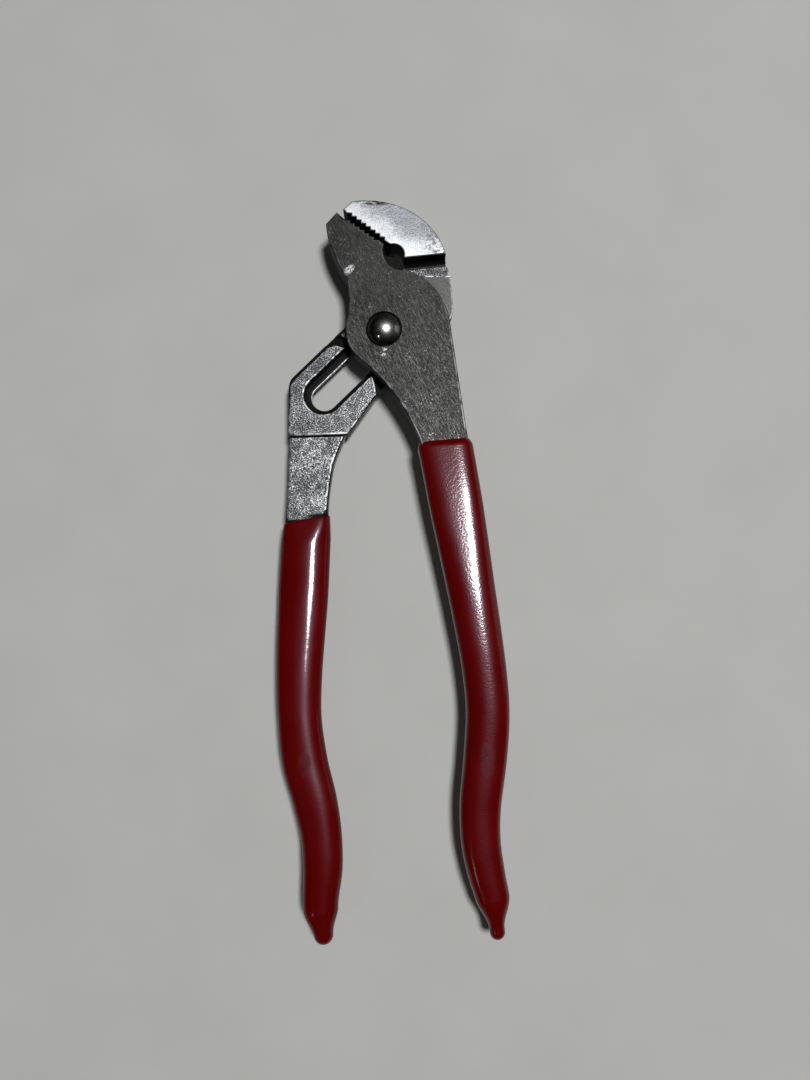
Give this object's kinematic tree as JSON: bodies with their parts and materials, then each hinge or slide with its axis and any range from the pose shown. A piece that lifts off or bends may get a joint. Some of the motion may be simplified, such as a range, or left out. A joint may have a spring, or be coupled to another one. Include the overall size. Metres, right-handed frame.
{
  "type": "water pump pliers",
  "caption": "Adjustable water pump pliers with slanted toothed jaws, a slotted tongue-and-groove pivot and long curved steel handles in dipped vinyl grips.",
  "frame": {"origin": "on the pivot axis, at the flat end of the pivot bolt, the lowest point of the tool lying on its back", "axes": "+Z along the pivot axis out of the front face, +Y towards the jaws, +X to the right seen from the front"},
  "size_m": [0.0782, 0.2506, 0.0221],
  "materials": {
    "rear_steel": "satin ground jaw, blasted pad and shank",
    "front_steel": "dark polished and finely scratched",
    "pivot_steel": "polished",
    "grip_vinyl": "dipped, satin gloss"
  },
  "bodies": {
    "rear": {"rear_half": "rear_steel", "left_grip": "grip_vinyl"},
    "pivot": {"pivot_bolt": "pivot_steel", "pivot_washer": "pivot_steel", "pivot_nut": "pivot_steel"},
    "front": {"front_half": "front_steel", "right_grip": "grip_vinyl"}
  },
  "joints": [
    {"name": "setting_slide", "type": "slide", "parent": "rear", "child": "pivot", "axis": [-0.7071, -0.7071, 0], "range_m": [0, 0.03]},
    {"name": "jaw_hinge", "type": "hinge", "parent": "pivot", "child": "front", "pos_m": [0, 0, 0.0115], "axis": [0, 0, 1], "range_deg": [-2.5, 68]}
  ]
}
